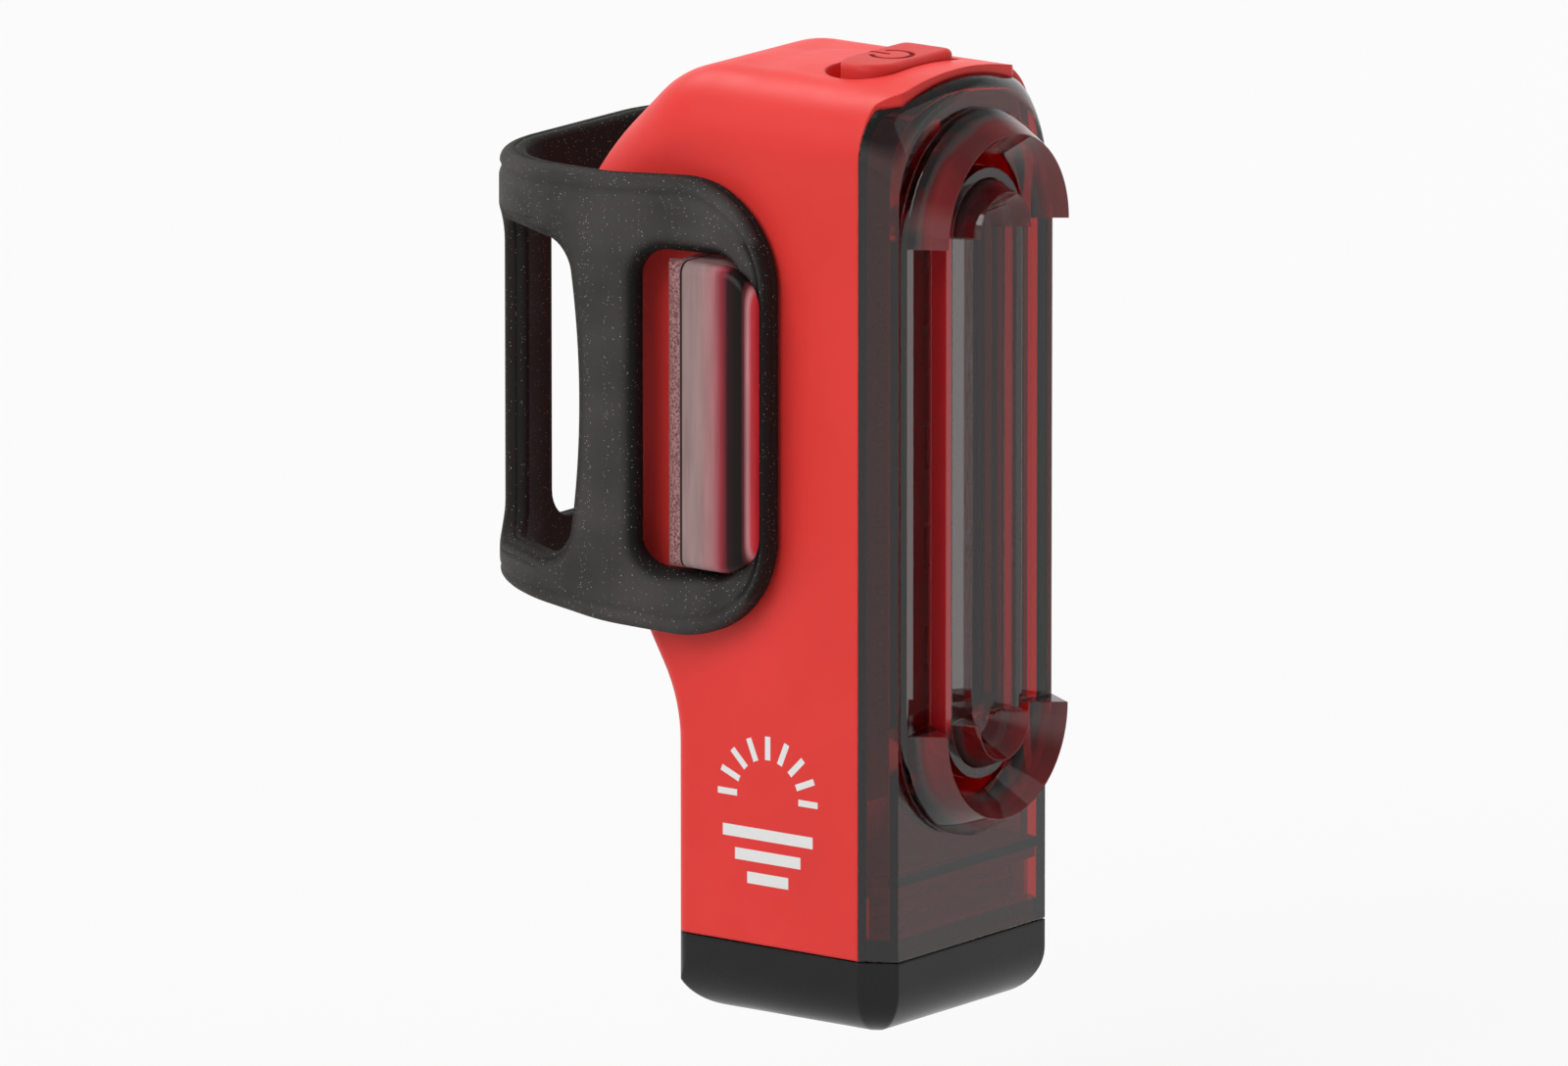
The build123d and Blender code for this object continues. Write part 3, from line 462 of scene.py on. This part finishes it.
def make_floor():
    mesh = bpy.data.meshes.new("floor")
    signs = ((-1, -1), (1, -1), (1, 1), (-1, 1))
    corners = [(across * floor_half, along * floor_half, floor_z) for across, along in signs]
    mesh.from_pydata(corners, [], [(0, 1, 2, 3)])
    floor = bpy.data.objects.new("floor", mesh)
    bpy.context.scene.collection.objects.link(floor)
    material = bpy.data.materials.new("floor")
    material.use_nodes = True
    tree = material.node_tree
    tree.nodes.remove(tree.nodes["Principled BSDF"])
    paper = shader_node(tree, "ShaderNodeBsdfDiffuse", Color=(0.62, 0.62, 0.62, 1.0))
    glow = shader_node(tree, "ShaderNodeEmission", Color=(1.0, 1.0, 1.0, 1.0), Strength=1.0)
    mix = shader_node(tree, "ShaderNodeMixShader")
    link(tree, maths(tree, "MULTIPLY", seen_ray(tree), 0.85), mix.inputs[0])
    link(tree, paper.outputs[0], mix.inputs[1])
    link(tree, glow.outputs[0], mix.inputs[2])
    link(tree, mix.outputs[0], tree.nodes["Material Output"].inputs["Surface"])
    mesh.materials.append(material)


def make_world():
    world = bpy.data.worlds.new("studio")
    world.use_nodes = True
    tree = world.node_tree
    ground = tree.nodes["Background"]
    ground.inputs["Color"].default_value = (1.0, 1.0, 1.0, 1.0)
    path = shader_node(tree, "ShaderNodeLightPath")
    _, _, height = axes_of(tree, shader_node(tree, "ShaderNodeTexCoord").outputs["Generated"])
    mirrored = ranged(tree, height, math.sin(math.radians(12)), math.sin(math.radians(32)), 1.0, dome_level)
    through = maths(tree, "MULTIPLY", path.outputs["Is Transmission Ray"], glass_level)
    direct = maths(tree, "MAXIMUM", path.outputs["Is Camera Ray"], through)
    glossy = maths(tree, "MULTIPLY", path.outputs["Is Glossy Ray"], mirrored)
    seen = maths(tree, "MAXIMUM", direct, glossy)
    link(tree, maths(tree, "MAXIMUM", seen, dome_level), ground.inputs["Strength"])
    bpy.context.scene.world = world


def area_lamp(name, azimuth, elevation, size, watts, mirrored=True):
    """Soft lamp that looks at the object from a direction given in degrees, seen in reflections or not."""
    data = bpy.data.lights.new(name, "AREA")
    data.shape = "DISK"
    data.size = size
    data.energy = watts
    lamp = bpy.data.objects.new(name, data)
    a, e = math.radians(azimuth), math.radians(elevation)
    out = Vector((math.sin(a) * math.cos(e), -math.cos(a) * math.cos(e), math.sin(e)))
    middle = (cad_box[0] + cad_box[1]) / 2
    lamp.location = middle + out * lamp_distance
    lamp.rotation_mode = "QUATERNION"
    lamp.rotation_quaternion = out.to_track_quat("Z", "Y")
    lamp.visible_glossy = mirrored
    bpy.context.scene.collection.objects.link(lamp)


# Strap
def rounded_path(points, radii, step):
    """Points along a polyline with rounded corners, each with its direction to the left, and the length."""
    samples = [(points[0], (points[1] - points[0]).normalized())]
    for before, corner, after, radius in zip(points, points[1:], points[2:], radii):
        come = (corner - before).normalized()
        leave = (after - corner).normalized()
        turn = come.angle_signed(leave)
        reach = radius * math.tan(abs(turn) / 2)
        side = Vector((come.y, -come.x)) * (1 if turn > 0 else -1)
        centre = corner - come * reach + side * radius
        count = max(2, math.ceil(radius * abs(turn) / step))
        for part in range(count + 1):
            angle = -turn * part / count
            spin = Matrix.Rotation(angle, 2)
            samples.append((centre - spin @ side * radius, spin @ come))
    samples.append((points[-1], (points[-1] - points[-2]).normalized()))
    filled = []
    travel = 0.0
    for (a, come), (b, leave) in zip(samples, samples[1:]):
        gap = (b - a).length
        count = max(1, math.ceil(gap / step))
        for part in range(count):
            share = part / count
            filled.append((travel + gap * share, a.lerp(b, share), come.lerp(leave, share).normalized()))
        travel += gap
    filled.append((travel, samples[-1][0], samples[-1][1]))
    return filled


def strap_centre_line():
    half = [
        Vector((-strap_mid_x, front_y + strap_front)),
        Vector((-strap_mid_x, front_y + strap_bend_at)),
        Vector((-strap_bulge_x, front_y + strap_bulge_at)),
        Vector((-strap_back_half, front_y + strap_back)),
    ]
    other = [Vector((-place.x, place.y)) for place in reversed(half)]
    return rounded_path(half + other, strap_radii + strap_radii[::-1], strap_path_step)


class Band:
    """A flat band, long way s and height z, bent round a centre line, with depth outwards from it."""

    def __init__(self, line):
        self.line = line
        self.marks = [travel for travel, _, _ in line]
        self.length = self.marks[-1]

    def at(self, s):
        after = min(max(bisect.bisect_left(self.marks, s), 1), len(self.line) - 1)
        (low, a, come), (high, b, leave) = self.line[after - 1], self.line[after]
        share = 0.0 if high == low else (s - low) / (high - low)
        return a.lerp(b, share), come.lerp(leave, min(max(share, 0.0), 1.0)).normalized()

    def bent(self, s, z, depth):
        place, along = self.at(s)
        return Vector((place.x - along.y * depth, place.y + along.x * depth, z))

    def first(self, test):
        """How far along the line the first place is that passes a test."""
        return next(travel for travel, place, _ in self.line if test(place))


def rounded_slot(s_low, s_high, bow=0.0):
    """Outline of a slot, its first side bowed by a middle reach."""
    points = []
    middle, half = (slot_low + slot_high) / 2, (slot_high - slot_low) / 2
    corners = (
        (s_high, slot_low, -90), (s_high, slot_high, 0), (s_low, slot_high, 90), (s_low, slot_low, 180)
    )
    for s, z, start in corners:
        centre_s = s + (slot_radius if s == s_low else -slot_radius)
        centre_z = z + (slot_radius if z == slot_low else -slot_radius)
        for part in range(9):
            angle = math.radians(start + 90 * part / 8)
            out = Vector((math.cos(angle), math.sin(angle)))
            points.append(Vector((centre_s, centre_z)) + out * slot_radius)
        if (s, z) == (s_low, slot_high):
            points += side_steps(s_low, slot_high - slot_radius, slot_low + slot_radius)
        elif (s, z) == (s_high, slot_low):
            points += side_steps(s_high, slot_low + slot_radius, slot_high - slot_radius)
    bowed = []
    for point in points:
        near = max(0.0, 1.0 - abs(point.x - s_low) / (slot_radius * 2)) if bow > 0 else 0.0
        if bow < 0:
            near = max(0.0, 1.0 - abs(point.x - s_high) / (slot_radius * 2))
        share = 1.0 - ((point.y - middle) / half) ** 2
        bowed.append(Vector((point.x - bow * near * share, point.y)))
    return bowed


def side_steps(s, z_from, z_to):
    """Points between the corners of a slot's straight side."""
    count = 24
    return [Vector((s, z_from + (z_to - z_from) * part / count)) for part in range(1, count)]


def inward_rings(outline, into):
    """The outline's points with their directions into the material."""
    count = len(outline)
    rings = []
    for place in range(count):
        ahead, behind = outline[(place + 1) % count], outline[place - 1]
        along = (ahead - behind).normalized()
        rings.append((outline[place], Vector((-along.y, along.x)) * into))
    return rings


def strap_outline(band):
    """Outer edge of the flat band, counter-clockwise."""
    rear = front_y + strap_back + strap_thickness / 2 + 1.0 * mm
    slope_from = hook_high.y
    low, high, end = strap_low.z, strap_high.z, strap_end_radius

    def fall(s):
        place, _ = band.at(s)
        return max(0.0, (place.y - slope_from) / (rear - slope_from))

    steps = math.ceil((band.length - 2 * end) / strap_grid)
    lower = [end + (band.length - 2 * end) * part / steps for part in range(steps + 1)]
    points = [Vector((s, low + strap_back_rise * fall(s))) for s in lower]
    points += arc_points((band.length - end, low + end), end, -90, 0)
    points += arc_points((band.length - end, high - end), end, 0, 90)
    points += [Vector((s, high - strap_back_drop * fall(s))) for s in reversed(lower)]
    points += arc_points((end, high - end), end, 90, 180)
    points += arc_points((end, low + end), end, 180, 270)
    return without_repeats(points)


def arc_points(centre, radius, start, stop):
    count = 24
    angles = [math.radians(start + (stop - start) * part / count) for part in range(count + 1)]
    return [Vector((centre[0] + radius * math.cos(a), centre[1] + radius * math.sin(a))) for a in angles]


def without_repeats(points):
    kept = []
    for point in points:
        if not kept or (point - kept[-1]).length > same_place:
            kept.append(point)
    if (kept[0] - kept[-1]).length < same_place:
        kept.pop()
    return kept


def rail_profile():
    """Inset and depth from the outer face to its rounded edge, with a soft groove beside a raised rim."""
    half = strap_thickness / 2
    profile = []
    start = 1.9 * rail_groove_at
    for part in range(10):
        inset = start - (start - strap_outer_round) * part / 9
        dip = math.exp(-((inset - rail_groove_at) / (0.3 * rail_groove_at)) ** 2)
        profile.append((inset, half - rail_groove_depth * dip))
    rim = profile[-1][1]
    for part in range(1, 7):
        angle = math.pi / 2 * part / 6
        inset, drop = 1 - math.sin(angle), 1 - math.cos(angle)
        profile.append((strap_outer_round * inset, rim - strap_outer_round * drop))
    return profile + edge_profile()


def slot_profile():
    """Inset and depth over the wide soft edge of a slot."""
    half = strap_thickness / 2
    profile = []
    for part in range(12):
        angle = math.pi / 2 * part / 11
        inset, drop = 1 - math.sin(angle), 1 - math.cos(angle)
        profile.append((slot_round_width * inset, half - slot_round_depth * drop))
    return profile + edge_profile()


def edge_profile():
    """Inset and depth across the rest of the band's edge, down to its inner face."""
    half = strap_thickness / 2
    profile = [
        (0.0, mould_line_at + mould_line_width / 2),
        (mould_line_depth, mould_line_at),
        (0.0, mould_line_at - mould_line_width / 2),
    ]
    for part in range(5):
        angle = math.pi / 2 * part / 4
        profile.append((
            strap_inner_round * (1 - math.cos(angle)), -half + strap_inner_round * (1 - math.sin(angle))
        ))
    return profile


def fitting_shares(loops, widest):
    """For each point, the share of its insets that leaves a gap to those of the nearest other loop."""
    owners, marks = [], []
    for which, loop in enumerate(loops):
        for (point, _), (after, _) in zip(loop, loop[1:] + loop[:1]):
            count = math.ceil((after - point).length / strap_path_step)
            marks += [point.lerp(after, part / count) for part in range(count)]
            owners += [which] * count
    near = kdtree.KDTree(len(marks))
    for place, mark in enumerate(marks):
        near.insert((mark.x, mark.y, 0.0), place)
    near.balance()
    shares = []
    for which, loop in enumerate(loops):
        row = []
        for point, _ in loop:
            _, other, room = near.find((point.x, point.y, 0.0), filter=lambda place: owners[place] != which)
            row.append(min(1.0, 0.8 * room / (widest[which] + widest[owners[other]])))
        shares.append(row)
    return shares


def inset_row(loop, inset, shares):
    return [point + into * inset * share for (point, into), share in zip(loop, shares)]


def make_strap(material):
    band = Band(strap_centre_line())
    length = band.length
    front_slot = (strap_bar, band.first(lambda p: p.y > front_y + side_slot_rear))
    corner_slot = (
        band.first(lambda p: p.y > front_y + side_web_rear) + web_waist_offset,
        band.first(lambda p: p.x > -back_web_outer),
    )
    middle_slot = (
        band.first(lambda p: p.x > -back_web_inner), band.first(lambda p: p.x > back_web_inner)
    )
    outlines = [
        strap_outline(band),
        without_repeats(rounded_slot(*front_slot)),
        without_repeats(rounded_slot(*corner_slot, bow=web_waist)),
        without_repeats(rounded_slot(*middle_slot)),
        without_repeats(rounded_slot(length - corner_slot[1], length - corner_slot[0], bow=-web_waist)),
        without_repeats(rounded_slot(length - front_slot[1], length - front_slot[0])),
    ]
    loops = [inward_rings(outline, 1 if place == 0 else -1) for place, outline in enumerate(outlines)]
    profiles = [rail_profile()] + [slot_profile()] * (len(outlines) - 1)
    loop_shares = fitting_shares(loops, [profile[0][0] for profile in profiles])
    mesh = bmesh.new()
    rings = []
    for loop, profile, shares in zip(loops, profiles, loop_shares):
        rows = []
        for inset, depth in profile:
            row = inset_row(loop, inset, shares)
            rows.append([mesh.verts.new(band.bent(p.x, p.y, depth)) for p in row])
        rings.append(rows)
        count = len(loop)
        for upper, lower in zip(rows, rows[1:]):
            for place in range(count):
                after = (place + 1) % count
                mesh.faces.new((upper[place], lower[place], lower[after], upper[after]))
    for ring_row, flip in ((0, False), (-1, True)):
        flat_rows = [
            inset_row(loop, profile[ring_row][0], shares)
            for loop, profile, shares in zip(loops, profiles, loop_shares)
        ]
        depth = profiles[1][ring_row][1]
        fill_band_face(mesh, band, flat_rows, depth, [rows[ring_row] for rows in rings], flip)
    bmesh.ops.recalc_face_normals(mesh, faces=mesh.faces)
    piece = finish_mesh(mesh, "strap", material)
    lay_dust_and_painted_shade(piece.data, band)
    return piece


def lay_dust_and_painted_shade(data, band):
    """Marks each point by how far out on the band it lies, so that dust sits on the outside alone and the bare
    inner face and soft slot edges stay dark as painted shade.
    """
    near = kdtree.KDTree(len(band.line))
    for place, (_, point, _) in enumerate(band.line):
        near.insert((point.x, point.y, 0.0), place)
    near.balance()
    marks = data.attributes.new("bloom", "FLOAT", "POINT")
    for vertex, mark in zip(data.vertices, marks.data):
        point, place, _ = near.find((vertex.co.x, vertex.co.y, 0.0))
        along = band.line[place][2]
        outward = (vertex.co.x - point.x) * -along.y + (vertex.co.y - point.y) * along.x
        depth = outward / (strap_thickness / 2)
        # In the slots' rows only the outermost band is marked, so the soft slot edges take the bare colour:
        # painted shade.
        between = min(vertex.co.z - slot_low, slot_high - vertex.co.z) > -slot_round_width
        mark.value = min(max((depth - 0.8) / 0.2 if between else depth + 0.1, 0.0), 1.0)


def fill_band_face(mesh, band, flat_rows, depth, border, flip):
    """Triangles over one face of the band, fine enough to bend."""
    flat, owner, faces = [], [], []
    for flat_row, row in zip(flat_rows, border):
        start = len(flat)
        flat += flat_row
        owner += row
        faces.append(list(range(start, start + len(row))))
    near = kdtree.KDTree(len(flat))
    for place, point in enumerate(flat):
        near.insert((point.x, point.y, 0.0), place)
    near.balance()
    columns = math.ceil(band.length / strap_grid)
    lines = math.ceil((strap_high.z - strap_low.z) / strap_grid)
    for column in range(1, columns):
        for line in range(1, lines):
            point = Vector((column * strap_grid, strap_low.z + line * strap_grid))
            if near.find((point.x, point.y, 0.0))[2] > strap_grid / 2:
                flat.append(point)
                owner.append(None)
    _, _, triangles, sources, _, origins = geometry.delaunay_2d_cdt(flat, [], faces, 1, 1e-7, True)
    for triangle, origin in zip(triangles, origins):
        if set(origin) != {0}:
            continue
        corners = []
        for vertex in triangle:
            place = sources[vertex][0]
            if owner[place] is None:
                owner[place] = mesh.verts.new(band.bent(flat[place].x, flat[place].y, depth))
            corners.append(owner[place])
        mesh.faces.new(corners[::-1] if flip else corners)


def finish_mesh(mesh, name, material):
    """Turns a bmesh into an object in the scene."""
    data = bpy.data.meshes.new(name)
    mesh.to_mesh(data)
    mesh.free()
    data.materials.append(material)
    for face in data.polygons:
        face.use_smooth = True
    piece = bpy.data.objects.new(name, data)
    bpy.context.scene.collection.objects.link(piece)
    return piece


make_camera()
make_floor()
make_world()
area_lamp("key", 262, 38, 0.7, 4.6)
area_lamp("fill", 20, 40, 0.9, 1.0)
area_lamp("right", 95, 38, 0.7, 3.6, mirrored=False)
area_lamp("rear", 163, 52, 0.45, 2.8)

dress(
    moulded_plastic("housing_red", (0.84, 0.046, 0.04), (0.77, 0.041, 0.034), 0.42, edge=0.4 * mm,
                    painted=side_marks, paint=(0.85, 0.85, 0.84)),
    "rear_housing"
)
dress(
    moulded_plastic("button_red", (0.66, 0.036, 0.03), (0.6, 0.032, 0.028), 0.46, edge=0.2 * mm,
                    painted=in_symbol, paint=(0.27, 0.012, 0.01)),
    "power_button"
)
# The lens carries painted red glow on its stepped centre and rings.
dress(smoked_glass("lens_smoke", (1.0, 0.97, 0.97), (0.88, 0.0, 0.02), 3000.0, 0.03), "front_lens")
# The hooks carry painted highlights and painted reflections along their faces.
dress(hook_plastic_painted_light("hook_smoke"), "hook_left", "hook_right")
dress(moulded_plastic("cap_black", (0.007, 0.007, 0.007), (0.011, 0.011, 0.011), 0.25, edge=0.4 * mm),
      "end_cap")
# The strap's bare colour is painted shade on its inner face and slot edges as well as clean rubber.
strap = make_strap(rubber("strap_rubber", (0.066, 0.062, 0.059), 0.8, (0.014, 0.013, 0.012)))
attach(strap, "strap")
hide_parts("mounting_strap")
dress(rubber("seal_rubber", (0.03, 0.03, 0.03), 0.2), "lens_gasket", "button_seal", "base_seal", "cap_seal")
dress(metal("steel", (0.62, 0.62, 0.64), 0.25, (1.0, 1.0, 0.1)),
      "switch_body", "board_screws", "usb_shell", "base_screws")
dress(metal("contact_gold", (0.83, 0.6, 0.25), 0.25, (1.0, 0.1, 1.0)), "link_pins", "usb_contacts")
dress(moulded_plastic("insert_black", (0.04, 0.04, 0.04), (0.05, 0.05, 0.05), 0.5),
      "switch_plunger", "usb_tongue", "base_plate")
dress(moulded_plastic("board_green", (0.008, 0.05, 0.024), (0.006, 0.04, 0.02), 0.35),
      "switch_board", "led_board", "charge_board")
dress(moulded_plastic("reflector_grey", (0.012, 0.012, 0.012), (0.008, 0.008, 0.008), 0.4), "reflector_frame")
dress(moulded_plastic("led_yellow", (0.05, 0.034, 0.01), (0.04, 0.028, 0.008), 0.3), "led_chips")
dress(moulded_plastic("chip_black", (0.03, 0.03, 0.033), (0.04, 0.04, 0.044), 0.45),
      "driver_chips", "charge_chip")
dress(metal("battery_wrap", (0.5, 0.52, 0.55), 0.4, (1.0, 1.0, 0.2)), "battery_cell")
dress(rubber("pad_foam", (0.1, 0.1, 0.11), 0.0), "battery_pad")
dress(rubber("wire_red", (0.5, 0.03, 0.025), 0.0), "battery_lead_red")
dress(rubber("wire_black", (0.02, 0.02, 0.02), 0.0), "battery_lead_black")

bpy.context.scene.view_settings.view_transform = "Standard"
